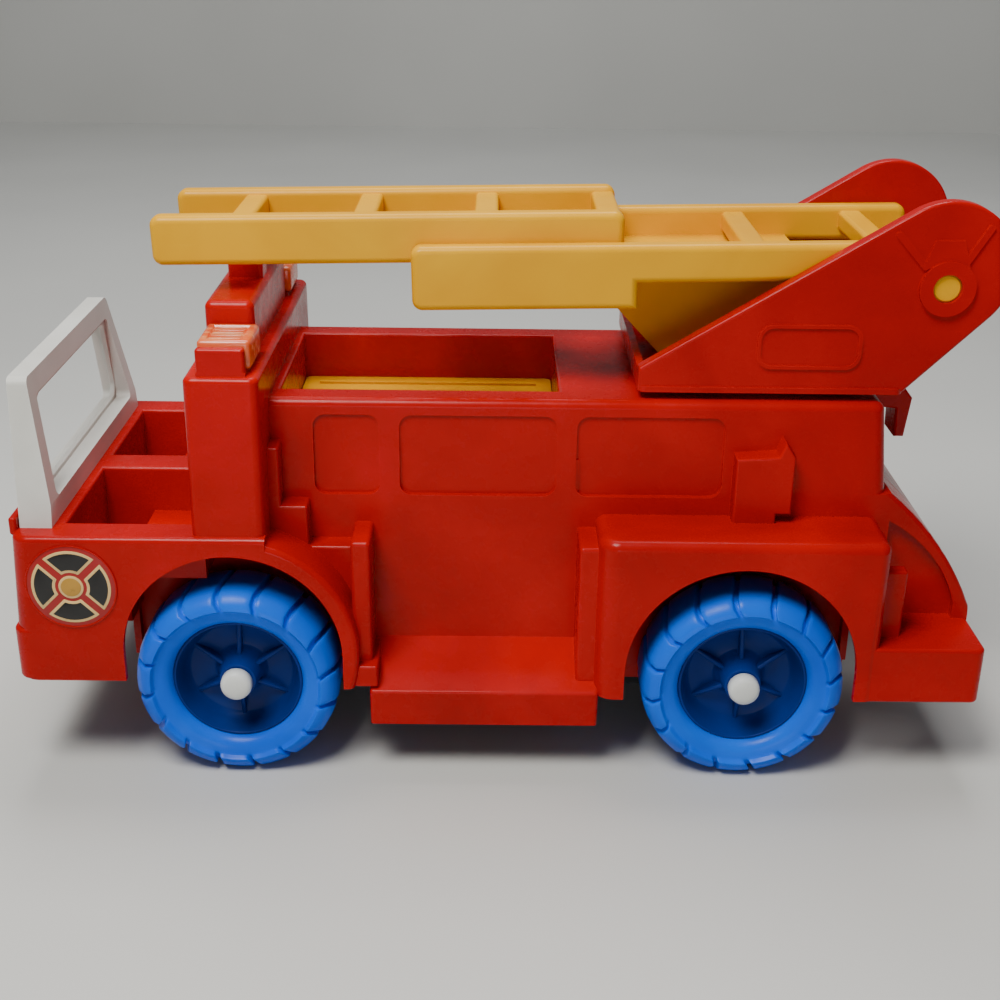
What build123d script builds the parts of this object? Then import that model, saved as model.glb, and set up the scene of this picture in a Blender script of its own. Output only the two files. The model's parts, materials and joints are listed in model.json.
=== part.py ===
"""Toy fire engine: a moulded shell body on two axles, with a swivelling, rising, extending ladder.

Units are millimetres.  +Z is up, the front of the truck is -X and its left side is -Y.
The origin is on the floor, under the middle of the truck's length and width.
"""
import math
import os

from build123d import *

# ---- driving dimensions -------------------------------------------------------------------
WALL = 2.4                      # moulded wall thickness
FRONT_X = -162.5                # face of the front bumper
REAR_X = 162.5                  # face of the rear bumper
SIDE_Y = 67.5                   # half width of the body at the wheels
DECK_Z = 89.3                   # belt line: nose deck and top of the rear fenders
BOX_TOP_Z = 129.0               # top of the rear box
BOX_TOP_Y = 42.8                # half width of the box at its top
SMALL_ROUND = 0.9               # rounding of the small blocks and mouldings
RIM_ROUND = 1.2                 # rounding of the rims of the seat wells and the bed
BOX_DRAFT = 0.035               # the box widens by this much per mm on its way down
CAB_TOP_Z = 142.0               # top of the cab's rear wall

WHEEL_R = 34.5
WHEELBASE = 172.0
FRONT_AXLE_X = -89.5
REAR_AXLE_X = FRONT_AXLE_X + WHEELBASE
TYRE_IN_Y = 43.0                # inner and outer faces of each tyre
TYRE_OUT_Y = 67.0
HUB_R = 22.0
AXLE_R = 2.5
RUN_CLEARANCE = 0.06            # radial play of a shaft in its bore
CAP_R = 5.3
CAP_OUT_Y = 68.5

CAB_X = (-100.8, -77.0)         # front and rear faces of the cab's rear wall
NOSE_REAR_X = CAB_X[1]
BOX_REAR_TOP_X = 125.6
BOX_REAR_LOW_X = 129.0
SKIRT_Z = 34.0                  # lower edge of the side walls
FENDER_X = (31.5, 127.0)        # rear fender block
FRONT_ARCH = (FRONT_AXLE_X, 46.5, 36.5)     # X, Z and radius of the arch openings
REAR_ARCH = (80.5, 41.0, 39.0)
ARCH_WALL_Y = (37.9, 40.2)      # walls that close the inner side of each arch
ARCH_WALL_Z = 24.0
AXLE_SLOT = 7.0                 # width of the axle slots in those walls

WELL_Y = (6.6, 55.0)            # seat wells each side of the centre divider
WELL_X = (-144.0, CAB_X[0])
SEAT_Z = 72.5
FOOTWELL_X = -127.0             # the footwell is in front of this
FOOTWELL_Z = 56.0
BED_X = (CAB_X[1] + WALL, 18.3)
BED_Y = 32.0
BED_Z = 109.5
TRAY_T = 2.5

STEP_X = (-44.4, 33.2)          # running boards between the wheels
STEP_Y = 66.5
STEP_BOTTOM_Z = 19.0
STEP_EDGE_Z = 32.5
STEP_WALL_Z = 43.0

TURN_X = 85.0                   # swivel axis of the turntable
TURN_R = 33.0
SPIGOT_R = 16.0
BASE_X = (44.0, 131.0)
BASE_Y = 39.5
BASE_Z = (131.6, 133.6)
ARM_IN_Y = 34.0
PIN_X = 141.0
PIN_Z = 167.4
PIN_R = 4.65
ARM_END = (140.5, 173.0, 22.0)  # X, Z and radius of the arms' round ends

LADDER_TILT = 1.2               # degrees that the resting ladder slopes down to the front
RAIL_T = 7.4
RAIL_END_R = 3.4                # rounding of the rails' ends, seen from the side
RAIL_EDGE_R = 2.4               # rounding along the rails' edges
MAIN_Y = 33.4                   # outer face of the main ladder's rails
MAIN_U = (-171.5, 3.2)          # its ends, measured along the ladder from the pin
MAIN_W = (0.7, 13.2)            # rail bottom and top, measured up from the pin
DEEP_U = -98.0                  # the rails are deeper in front of this
DEEP_W = -7.9
EXT_Y = 25.6
EXT_U = (-256.5, -102.0)
EXT_W = (6.0, 22.3)
RUNG_PITCH = 40.5
RUNG_W = 8.0
RUNG_R = 1.5
LOW_BARS = (-160.0, -134.0, -106.0)         # cross bars under the extension, along the main ladder
LOW_BAR_TOP = 5.6
KEEL_Y = 9.0                    # half thickness of the keel
KEEL_FRONT_U = -86.5            # front of the keel's foot

PLATE_Z = (20.0, 22.6)          # chassis plate
SCREW_X = (-36.0, 24.0)
SCREW_Y = 30.0
SCREW_R = 1.6
LAMP_X = -88.8
LAMP_Y = 47.0
SPIGOT_END_Z = 126.2
RETAINER_R = 20.0

tilt = math.radians(LADDER_TILT)
LADDER_PLANE = Plane(
    origin=(PIN_X, 0, PIN_Z),
    x_dir=(math.cos(tilt), 0, math.sin(tilt)),
    z_dir=(-math.sin(tilt), 0, math.cos(tilt)),
)


def box_half_width(z):
    """Half width of the drafted rear box at height z."""
    return BOX_TOP_Y + BOX_DRAFT * (BOX_TOP_Z - z)


def span(x, y, z, mode=Mode.ADD):
    """A box between two corners, added to the part being built."""
    centre = ((x[0] + x[1]) / 2, (y[0] + y[1]) / 2, (z[0] + z[1]) / 2)
    with Locations(centre):
        return Box(x[1] - x[0], y[1] - y[0], z[1] - z[0], mode=mode)


def both_sides(x, y, z, mode=Mode.ADD):
    """The same box on the left and right of the truck; y is measured from the centre plane."""
    span(x, y, z, mode)
    span(x, (-y[1], -y[0]), z, mode)


def rounded_block(x, y, z, radius):
    """A box between two corners with all its edges rounded."""
    with BuildPart() as block:
        span(x, y, z)
        fillet(block.edges(), radius)
    return block.part


def rounded_sides(x, y, z, radius=SMALL_ROUND):
    """The same rounded block on the left and right of the truck, added to the part being built."""
    add(rounded_block(x, y, z, radius))
    add(rounded_block(x, (-y[1], -y[0]), z, radius))


def prism_x(points, x, mode=Mode.ADD):
    """A (y, z) outline run along X from x[0] to x[1]."""
    with BuildSketch(Plane.YZ.offset(x[0])) as outline:
        with BuildLine():
            Polyline(*points, close=True)
        make_face()
    extrude(outline.sketch, amount=x[1] - x[0], mode=mode)


def prism_y(points, y, mode=Mode.ADD):
    """An (x, z) outline run along Y from y[0] to y[1]."""
    with BuildSketch(Plane.XZ.offset(-y[1])) as outline:
        with BuildLine():
            Polyline(*points, close=True)
        make_face()
    extrude(outline.sketch, amount=y[1] - y[0], mode=mode)


# ---- body shell ---------------------------------------------------------------------------
def nose_block():
    """Bumper, raked nose and the cab floor behind it, with rounded front corners."""
    with BuildPart() as block:
        prism_y(
            [(-161.4, 36.5), (-161.4, 57), (-159.6, DECK_Z), (NOSE_REAR_X, DECK_Z), (NOSE_REAR_X, 36.5)],
            (-SIDE_Y, SIDE_Y),
        )
        front = block.edges().filter_by(lambda e: e.center().X < -158 and abs(e.center().Y) > 60)
        fillet(front.filter_by(lambda e: e.bounding_box().size.Z > 15), 6)
        fillet(block.edges().filter_by(Axis.X).filter_by(lambda e: e.center().Z > 80), 2)
    return block.part


def bumper_block(x, y, z, radius):
    """A bumper with rounded outer corners and softened top and bottom edges."""
    with BuildPart() as block:
        span(x, (-y, y), z)
        fillet(block.edges().filter_by(Axis.Z), radius)
        fillet(block.faces().sort_by(Axis.Z)[-1].edges(), 1.2)
        fillet(block.faces().sort_by(Axis.Z)[0].edges(), 1.2)
    return block.part


def cab_wall_block():
    """Upright wall behind the seats, drafted towards its top."""
    low, high = SIDE_Y - 0.2, 62.5
    with BuildPart() as block:
        prism_x([(-low, 60), (low, 60), (high, CAB_TOP_Z), (-high, CAB_TOP_Z)], CAB_X)
        upright = block.edges().filter_by(lambda e: abs(e.center().Y) > 60 and e.bounding_box().size.Z > 40)
        fillet(upright, 3)
        fillet(block.faces().sort_by(Axis.Z)[-1].edges(), 2)
    return block.part


def rear_box_block():
    """The long drafted box that carries the bed and the turntable."""
    low = box_half_width(SKIRT_Z)
    with BuildPart() as block:
        prism_x(
            [(-low, SKIRT_Z), (low, SKIRT_Z), (BOX_TOP_Y, BOX_TOP_Z), (-BOX_TOP_Y, BOX_TOP_Z)],
            (CAB_X[1] - 1, BOX_REAR_LOW_X),
        )
        prism_y([(BOX_REAR_LOW_X, 97), (BOX_REAR_TOP_X, BOX_TOP_Z), (140, BOX_TOP_Z), (140, 97)],
                (-60, 60), Mode.SUBTRACT)
        rear = block.edges().filter_by(lambda e: e.center().X > 120 and abs(e.center().Y) > 30)
        fillet(rear.filter_by(lambda e: e.bounding_box().size.Z > 20 and e.center().Z > 100), 4)
        top = block.faces().sort_by(Axis.Z)[-1].edges().filter_by(lambda e: e.center().X > -70)
        fillet(top, 3)
    return block.part


def rear_fender_block():
    """Fender over each rear wheel, in one block across the truck."""
    with BuildPart() as block:
        span(FENDER_X, (-SIDE_Y, SIDE_Y), (31, DECK_Z))
        upright = block.edges().filter_by(Axis.Z)
        fillet(upright.filter_by(lambda e: e.center().X < 50), 7)
        fillet(upright.filter_by(lambda e: e.center().X > 100), 4)
        fillet(block.faces().sort_by(Axis.Z)[-1].edges(), 3.5)
    return block.part


def tail_outline(inset):
    """Curved outline of the tail behind the box, moved in by inset."""
    with BuildSketch(Plane.XZ.offset(-44)) as outline:
        with BuildLine():
            Polyline((131 - 1.3 * inset, 97.6 - inset), (118, 97.6 - inset), (118, 34), (REAR_X - inset, 34),
                     (REAR_X - inset, 56))
            ThreePointArc((REAR_X - inset, 56), (149.0 - 0.8 * inset, 79 - 0.6 * inset),
                          (131 - 1.3 * inset, 97.6 - inset))
        make_face()
    return outline.sketch


def tail_block():
    """The curved tail, with softened side edges."""
    with BuildPart() as tail:
        extrude(tail_outline(0), amount=88)
        sides = tail.edges().filter_by(lambda e: abs(e.center().Y) > 43.9 and e.center().X > 135)
        fillet(sides.filter_by(lambda e: e.center().Z > 60), 1.6)
    return tail.part


def running_boards():
    """Sloped boards between the wheels, in one piece across the truck."""
    wall_y = box_half_width(STEP_WALL_Z)
    with BuildPart() as boards:
        prism_x([(-STEP_Y, STEP_EDGE_Z), (-wall_y, STEP_WALL_Z), (wall_y, STEP_WALL_Z), (STEP_Y, STEP_EDGE_Z),
                 (STEP_Y - 1.5, STEP_BOTTOM_Z), (1.5 - STEP_Y, STEP_BOTTOM_Z)], STEP_X)
        outer = boards.edges().filter_by(lambda e: abs(e.center().Y) > 50 and e.center().Z > 24)
        fillet(outer, 1.2)
    return boards.part


def front_fender_ring():
    """Arched flare over the rear half of each front wheel."""
    x, z, radius = FRONT_ARCH
    with BuildPart() as ring:
        with Locations(Location((x, 0, z), (90, 0, 0))):
            Cylinder(radius + 5.5, 2 * SIDE_Y)
        span((x - 60, x + 1), (-80, 80), (0, 120), Mode.SUBTRACT)
        span((x, x + 60), (-80, 80), (0, SKIRT_Z), Mode.SUBTRACT)
        flare = ring.edges().filter_by(GeomType.CIRCLE).filter_by(lambda e: abs(e.center().Y) > 60)
        fillet(flare, 2)
    return ring.part


def arch_cutter(arch, y_from, x_min=-300):
    """Upside-down U through both side walls, from y_from outwards."""
    x, z, radius = arch
    with BuildPart() as cutter:
        for side in (-1, 1):
            with Locations(Location((x, side * (y_from + 40), z), (90, 0, 0))):
                Cylinder(radius, 80)
            with Locations((x, side * (y_from + 40), z / 2 - 1)):
                Box(2 * radius, 80, z + 2)
        if x_min > -300:
            span((-300, x_min), (-200, 200), (-10, 200), Mode.SUBTRACT)
    return cutter.part


def arch_inner_walls(arch):
    """Upright walls that close the inner side of an arch, tied at both ends to the box sides."""
    x, _, radius = arch
    with BuildPart() as walls:
        top = DECK_Z - WALL + 0.2
        both_sides((x - radius - WALL, x + radius + WALL), ARCH_WALL_Y, (ARCH_WALL_Z, top))
        for end in (x - radius - WALL, x + radius):
            both_sides((end, end + WALL), (ARCH_WALL_Y[0], BOX_TOP_Y + 1.2), (SKIRT_Z, top))
    return walls.part


def axle_slots():
    """Slots through the inner arch walls that let the axles in from below."""
    with BuildPart() as slots:
        for x in (FRONT_AXLE_X, REAR_AXLE_X):
            both_sides((x - AXLE_SLOT / 2, x + AXLE_SLOT / 2), (ARCH_WALL_Y[0] - 1, ARCH_WALL_Y[1] + 0.1),
                       (0, WHEEL_R + AXLE_SLOT / 2))
    return slots.part


def body_outside():
    """All outer volumes of the body, before it is hollowed."""
    with BuildPart() as outer:
        add(nose_block())
        add(bumper_block((FRONT_X, -128.4), SIDE_Y, (36.5, 55.5), 5))
        add(bumper_block((121, REAR_X), 67, (30.4, 51), 3))
        add(cab_wall_block())
        add(rear_box_block())
        add(rear_fender_block())
        add(tail_block())
        add(front_fender_ring())
        rounded_sides((CAB_X[1] - 2, -47), (30, 52), (SKIRT_Z, 80))
        rounded_sides((CAB_X[1] - 2, -64.7), (30, 52), (SKIRT_Z, 94.5))
        rounded_sides((CAB_X[1] - 2, -73.5), (30, 52), (SKIRT_Z, 115))
        rounded_sides((-50, -43.5), (30, 62), (SKIRT_Z, 86), 1.4)
        rounded_sides((-49.5, -41.5), (30, 66), (SKIRT_Z, 42))
        rounded_sides((25.4, 33), (30, 62), (SKIRT_Z, 84.7), 1.4)
        add(running_boards())
    return outer.part


def body_cavity():
    """Space inside the walls, open at the bottom."""
    inner_side = SIDE_Y - WALL
    deck_under = DECK_Z - WALL
    with BuildPart() as cavity:
        span((-158.6, NOSE_REAR_X - WALL), (-inner_side, inner_side), (0, deck_under))
        span((-160.4, -130), (-inner_side, inner_side), (0, 53))
        prism_x([(-64.4, 60), (64.4, 60), (60, CAB_TOP_Z - WALL), (-60, CAB_TOP_Z - WALL)],
                (CAB_X[0] + WALL, CAB_X[1] - WALL))
        top = BOX_TOP_Z - WALL
        low = box_half_width(0) - WALL
        high = BOX_TOP_Y - WALL
        prism_x([(-low, 0), (low, 0), (high, top), (-high, top)], (CAB_X[1] - 3, BOX_REAR_TOP_X - WALL - 1))
        span((FENDER_X[0] + WALL, FENDER_X[1] - WALL), (-inner_side, inner_side), (0, deck_under))
        span((118, REAR_X - WALL), (-64.6, 64.6), (0, 48.6))
        extrude(tail_outline(WALL), amount=88 - 2 * WALL - 3)
        both_sides((CAB_X[1] - 3, -52.4), (20, 52 - WALL), (0, 78))
        step_wall_y = box_half_width(STEP_WALL_Z) - WALL
        step_top_z = STEP_WALL_Z - WALL
        prism_x([(-62.6, 0), (-63.9, 31.4), (-step_wall_y, step_top_z), (step_wall_y, step_top_z),
                 (63.9, 31.4), (62.6, 0)], (STEP_X[0] + WALL, STEP_X[1] - WALL))
    return cavity.part


def seat_well(side, grow):
    """One seat well with its deeper footwell; grow makes its outside."""
    near, far = sorted((side * (WELL_Y[0] - grow), side * (WELL_Y[1] + grow)))
    with BuildPart() as well:
        span((WELL_X[0] - grow, WELL_X[1] + grow), (near, far), (SEAT_Z - grow, DECK_Z))
        span((WELL_X[0] - grow, FOOTWELL_X + grow), (near, far), (FOOTWELL_Z - grow, DECK_Z))
    return well.part


def box_side_details():
    """Raised frames and equipment mouldings on the side of the box."""
    with BuildPart() as details:
        for side in (-1, 1):
            face = side * 43.2
            out = side * 50.5
            y = (min(face, out), max(face, out))
            prism_y([(76.6, 92.5), (96, 92.5), (96, 113), (92.5, 118), (90.5, 113), (76.6, 112)], y)
            span((76.6, 91), y, (DECK_Z - 1, 94.5))
        outer = details.edges().filter_by(lambda e: abs(e.center().Y) > 50.4)
        fillet(outer, SMALL_ROUND)
    return details.part


def panel_recess():
    """Three shallow panels with rounded lower corners sunk into each side of the box."""
    with BuildPart() as recess:
        for side in (-1, 1):
            depth = side * (box_half_width(110) + 3.2)
            for x_from, x_to in ((-63, -41.2), (-34.5, 17.6), (24.3, 73.2)):
                with BuildSketch(Plane.XZ.offset(-depth)) as panel:
                    with Locations(((x_from + x_to) / 2, 109.7)):
                        RectangleRounded(x_to - x_from, 28, 4)
                extrude(panel.sketch, amount=side * 4.4)
    return recess.part


def cab_top():
    """Lamp housings, centre hump and the ladder rest on top of the cab's rear wall."""
    with BuildPart() as top:
        span((-97.6, -81.5), (-36, 36), (CAB_TOP_Z - 1, 159.4))
        fillet(top.edges().filter_by(lambda e: e.center().Z > 150), 2.5)
        add(rounded_block((-95, -83), (-5, 5), (CAB_TOP_Z, 167.8), 1.6))
        rounded_sides((-96.5, -81), (57.2, 60.6), (CAB_TOP_Z - 2, 151), 1.2)
        both_sides((-96.5, -81), (36, 60.6), (CAB_TOP_Z - 1, 143.2))
    return top.part


def rear_hook():
    """Hook behind the box, under the turntable."""
    with BuildPart() as hook:
        prism_y(
            [(120, 127.5), (141, 124), (145, 119), (143.5, 104.5), (140, 104.5), (139.5, 115), (120, 117)],
            (-7, 7),
        )
        fillet(hook.edges().filter_by(lambda e: abs(e.center().Y) > 6.9), SMALL_ROUND)
    return hook.part


def rim_edges(part, z, x, y):
    """Edges at height z whose middles lie within x and, on either side of the centre plane, within y."""
    return part.edges().filter_by(
        lambda e: abs(e.center().Z - z) < 0.01
        and x[0] - 0.1 < e.center().X < x[1] + 0.1
        and y[0] - 0.1 < abs(e.center().Y) < y[1] + 0.1
    )


def make_body_shell():
    """The one-piece moulded body."""
    with BuildPart() as body_shell:
        add(body_outside())
        add(box_side_details())
        add(cab_top())
        add(rear_hook())
        add(rounded_block((-160.8, -158.2), (-62, 62), (DECK_Z - 2, 93.6), 1.0))
        rounded_sides((126, 135.5), (53, 58), (45, 75.5))
        add(panel_recess(), mode=Mode.SUBTRACT)
        add(body_cavity(), mode=Mode.SUBTRACT)
        # tail: pockets in both sides leave a rim along the curve
        for side in (-1, 1):
            with BuildSketch(Plane.XZ.offset(-side * 50)) as pocket:
                with BuildLine():
                    Polyline((131, 88), (131, 51), (157, 51), (157, 57))
                    ThreePointArc((157, 57), (145.5, 77), (131, 88))
                make_face()
            extrude(pocket.sketch, amount=side * 9.4, mode=Mode.SUBTRACT)
        for arch in (FRONT_ARCH, REAR_ARCH):
            add(arch_inner_walls(arch))
        add(axle_slots(), mode=Mode.SUBTRACT)
        # seat wells and the bed are cups let into the hollow body
        for side in (-1, 1):
            add(seat_well(side, WALL - 0.2))
            add(seat_well(side, 0), mode=Mode.SUBTRACT)
        span((BED_X[0] - WALL, BED_X[1] + WALL), (-BED_Y - WALL, BED_Y + WALL), (BED_Z - WALL, BOX_TOP_Z - 1))
        span(BED_X, (-BED_Y, BED_Y), (BED_Z, BOX_TOP_Z + 1), Mode.SUBTRACT)
        # bulkheads between the wheels carry the screw bosses
        for x in SCREW_X:
            span((x - WALL / 2, x + WALL / 2), (-43, 43), (PLATE_Z[1] + 4, BED_Z - 1))
            both_sides((x - 4.5, x + 4.5), (SCREW_Y - 4.5, SCREW_Y + 4.5), (PLATE_Z[1], 60))
        with Locations(*[(x, y, PLATE_Z[1]) for x in SCREW_X for y in (-SCREW_Y, SCREW_Y)]):
            Cylinder(SCREW_R, 24, mode=Mode.SUBTRACT)
        # wheel arches: through the side walls, and clear of the wheels behind the cab
        add(arch_cutter(FRONT_ARCH, 60), mode=Mode.SUBTRACT)
        add(arch_cutter(FRONT_ARCH, 40.5, x_min=CAB_X[0] + WALL), mode=Mode.SUBTRACT)
        add(arch_cutter(REAR_ARCH, 40.5), mode=Mode.SUBTRACT)
        # soft rims round the seat wells and the bed
        fillet(rim_edges(body_shell, DECK_Z, (WELL_X[0], WELL_X[1] - 1), WELL_Y), RIM_ROUND)
        fillet(rim_edges(body_shell, BOX_TOP_Z, BED_X, (0, BED_Y)), RIM_ROUND)
        # turntable bore, windscreen slots and lamp holes
        with Locations((TURN_X, 0, BOX_TOP_Z)):
            Cylinder(SPIGOT_R + RUN_CLEARANCE, 12, mode=Mode.SUBTRACT)
        both_sides((-154.5, -150.5), (30, 42), (DECK_Z - 5, DECK_Z + 1), Mode.SUBTRACT)
        with Locations(*[(LAMP_X, side * LAMP_Y, 143) for side in (-1, 1)]):
            Cylinder(2.5, 8, mode=Mode.SUBTRACT)
    return body_shell


# ---- chassis and its screws ---------------------------------------------------------------
def make_chassis_plate():
    """Floor plate with a bored pillar each side of both axles."""
    with BuildPart() as chassis_plate:
        span((FRONT_AXLE_X - 24, REAR_AXLE_X + 24), (-38, 38), PLATE_Z)
        fillet(chassis_plate.edges().filter_by(Axis.Z), 6)
        for x in (FRONT_AXLE_X, REAR_AXLE_X):
            both_sides((x - 6, x + 6), (31, 37.5), (PLATE_Z[1] - 0.5, WHEEL_R + 2))
            for side in (-1, 1):
                with Locations(Location((x, side * 34.25, WHEEL_R), (90, 0, 0))):
                    Cylinder(6, 6.5)
            span((x - 1.2, x + 1.2), (-32, 32), (PLATE_Z[1] - 0.5, PLATE_Z[1] + 5))
            with Locations(Location((x, 0, WHEEL_R), (90, 0, 0))):
                Cylinder(AXLE_R + RUN_CLEARANCE, 100, mode=Mode.SUBTRACT)
        for y in (-20, 20):
            span((FRONT_AXLE_X, REAR_AXLE_X), (y - 1.2, y + 1.2), (PLATE_Z[1] - 0.5, PLATE_Z[1] + 3))
        with Locations(*[(x, y, PLATE_Z[0]) for x in SCREW_X for y in (-SCREW_Y, SCREW_Y)]):
            Cylinder(SCREW_R, 20, mode=Mode.SUBTRACT)
    return chassis_plate


def make_chassis_screws():
    """Four pan-head screws with crossed recesses."""
    with BuildPart() as chassis_screws:
        for x in SCREW_X:
            for y in (-SCREW_Y, SCREW_Y):
                with Locations((x, y, PLATE_Z[0] - 1)):
                    Cylinder(3.4, 2)
                with Locations((x, y, PLATE_Z[0] + 5)):
                    Cylinder(SCREW_R, 12)
                with Locations((x, y, PLATE_Z[0] - 1.6)):
                    Box(4, 0.9, 1.2, mode=Mode.SUBTRACT)
                    Box(0.9, 4, 1.2, mode=Mode.SUBTRACT)
    return chassis_screws


# ---- fittings on the body -----------------------------------------------------------------
def make_windscreen_frame():
    """Open windscreen surround on a base bar that is tabbed into the deck."""
    base, top = 60.0, 50.0
    z_low, z_high = DECK_Z, 137.4
    with BuildPart() as windscreen_frame:
        with BuildSketch(Plane.YZ.offset(-160)) as outline:
            with BuildLine():
                Polyline((-base, z_low), (base, z_low), (top, z_high), (-top, z_high), close=True)
            make_face()
            fillet(outline.vertices().group_by(Axis.Y)[-1], 3)
        extrude(amount=13)
        with BuildSketch(Plane.YZ.offset(-165)) as opening:
            with BuildLine():
                Polyline((-51, 96.6), (51, 96.6), (44.6, 130.4), (-44.6, 130.4), close=True)
            make_face()
            fillet(opening.vertices(), 2.5)
        extrude(amount=30, mode=Mode.SUBTRACT)
        # the posts lean forward and thin towards the top
        prism_y([(-170, 80), (-170, 150), (-160, 150), (-159.6, z_high), (-157.8, z_low), (-157.8, 80)],
                (-70, 70), Mode.SUBTRACT)
        prism_y([(-147.3, 80), (-147.3, 96.6), (-153.3, z_high), (-153.3, 150), (-140, 150), (-140, 80)],
                (-70, 70), Mode.SUBTRACT)
        both_sides((-154.5, -150.5), (30, 42), (DECK_Z - 4, DECK_Z + 1))
    return windscreen_frame


def make_bed_tray():
    """Floor tray of the bed with lengthwise ribs."""
    with BuildPart() as bed_tray:
        span((BED_X[0] + 0.3, BED_X[1] - 0.3), (-BED_Y + 0.3, BED_Y - 0.3), (BED_Z, BED_Z + TRAY_T))
        fillet(bed_tray.edges().filter_by(Axis.Z), 2)
        for y in (-24, -12, 0, 12, 24):
            span((BED_X[0] + 6, BED_X[1] - 6), (y - 0.8, y + 0.8), (BED_Z + TRAY_T, BED_Z + TRAY_T + 0.8))
    return bed_tray


def make_lamp_lens(side):
    """Moulded lamp lens with a peg that presses into the cab wall."""
    with BuildPart() as lamp_lens:
        span((-96.4, -79.6), tuple(sorted((side * 37.0, side * 57.0))), (143.2, 152.6))
        fillet(lamp_lens.edges().filter_by(lambda e: e.center().Z > 144), 1.5)
        with Locations((LAMP_X, side * LAMP_Y, 142.0)):
            Cylinder(2.5, 4)
    return lamp_lens


def make_badge(side):
    """Thin round badge on the side of the nose."""
    with BuildPart() as badge:
        with Locations(Location((-140.8, side * (SIDE_Y + 0.35), 71.8), (90, 0, 0))):
            Cylinder(15.2, 0.7)
    return badge


# ---- wheels -------------------------------------------------------------------------------
def wheel_location(x, side):
    """Places a part turned about Z on an axle, with its +Z end looking away from the truck."""
    return Location((x, side * TYRE_IN_Y, WHEEL_R), (-90 * side, 0, 0))


def make_tyre(x, side):
    """Blown tyre ring with rounded shoulders."""
    width = TYRE_OUT_Y - TYRE_IN_Y
    with BuildPart() as tyre:
        with BuildSketch(Plane.XZ) as profile:
            with BuildLine():
                Polyline((HUB_R, 1.0), (30.0, 0.0), (WHEEL_R, 4.5), (WHEEL_R, width - 6),
                         (30.0, width - 0.5), (HUB_R, width - 3.5), close=True)
            make_face()
            fillet(profile.vertices().filter_by(lambda v: v.X > 33), 3)
        revolve(axis=Axis.Z)
    return tyre.part.moved(wheel_location(x, side))


def make_hub(x, side):
    """Dished hub with a bored boss that runs on the axle."""
    bore = AXLE_R + RUN_CLEARANCE
    with BuildPart() as hub:
        with BuildSketch(Plane.XZ):
            with BuildLine():
                Polyline((bore, -2.4), (7, -2.4), (7, 7), (17.5, 9), (19.6, 3), (HUB_R, 2), (HUB_R, 19.5),
                         (20.4, 19.5), (18.2, 12.5), (7.5, 10), (6.6, 20.2), (bore, 20.2), close=True)
            make_face()
        revolve(axis=Axis.Z)
    return hub.part.moved(wheel_location(x, side))


def make_axle(x):
    """Plain steel axle."""
    with BuildPart() as axle:
        with Locations(Location((x, 0, WHEEL_R), (90, 0, 0))):
            Cylinder(AXLE_R, 2 * (CAP_OUT_Y - 1.8))
        chamfer(axle.edges().filter_by(GeomType.CIRCLE), 0.5)
    return axle.part


def make_axle_cap(x, side):
    """Domed push-on cap that keeps the wheel on."""
    depth = 4.7
    with BuildPart() as axle_cap:
        with Locations((0, 0, CAP_OUT_Y - TYRE_IN_Y - depth / 2)):
            Cylinder(CAP_R, depth)
        fillet(axle_cap.faces().sort_by(Axis.Z)[-1].edges(), 1.6)
        with Locations((0, 0, CAP_OUT_Y - 1.8 - TYRE_IN_Y - 10)):
            Cylinder(AXLE_R, 20, mode=Mode.SUBTRACT)
    return axle_cap.part.moved(wheel_location(x, side))


# ---- turntable ----------------------------------------------------------------------------
def arm_outline():
    """Side view of the arms: the base line drawn up to a round end by two tangents."""
    x, z, radius = ARM_END
    with BuildSketch(Plane.XZ) as outline:
        with Locations((x, z)):
            Circle(radius)
        with BuildLine():
            Polyline((BASE_X[0], BASE_Z[0] + 0.4), (BASE_X[0], 139.7),
                     tangent_point((BASE_X[0], 139.7), 1), (x, z),
                     tangent_point((BASE_X[1], BASE_Z[0] + 0.4), -1),
                     (BASE_X[1], BASE_Z[0] + 0.4), close=True)
        make_face()
    return outline.sketch


def turntable_arm(side):
    """One flat arm with its edges rounded."""
    with BuildPart() as arm:
        extrude(arm_outline().moved(Location((0, side * BASE_Y, 0))), amount=side * (BASE_Y - ARM_IN_Y))
        fillet(arm.edges().filter_by(lambda e: abs(abs(e.center().Y) - (BASE_Y + ARM_IN_Y) / 2) > 2.7), 1.1)
    return arm.part


def tangent_point(start, turn):
    """Where a tangent from start touches the arms' round end, above (turn 1) or below it (turn -1)."""
    x, z, radius = ARM_END
    dx, dz = start[0] - x, start[1] - z
    reach = math.hypot(dx, dz)
    angle = math.atan2(dz, dx) - turn * math.acos(radius / reach)
    return (x + radius * math.cos(angle), z + radius * math.sin(angle))


def arm_relief(side):
    """Raised mouldings on the outer face of an arm: pin boss, two fins, a cap and a plain frame."""
    y = side * BASE_Y
    with BuildPart() as relief:
        with BuildSketch(Plane.XZ.offset(-(y - side * 1.0))) as shapes:
            with Locations((PIN_X - 1.0, PIN_Z + 11)):
                Trapezoid(15, 9, 72)
            for angle, centre in ((-47, (PIN_X - 12.5, PIN_Z + 12)), (60, (PIN_X + 8, PIN_Z + 13.5))):
                with Locations(Location((centre[0], centre[1], 0), (0, 0, angle))):
                    SlotOverall(16, 2.2)
            with Locations((PIN_X - 42, PIN_Z - 20)):
                RectangleRounded(34, 15, 5)
                RectangleRounded(31.6, 12.6, 4, mode=Mode.SUBTRACT)
        extrude(shapes.sketch, amount=-side * 1.6)
        with Locations(Location((PIN_X, y + side * 0.1, PIN_Z), (90, 0, 0))):
            Cylinder(9.0, 2.6)
    return relief.part


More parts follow.
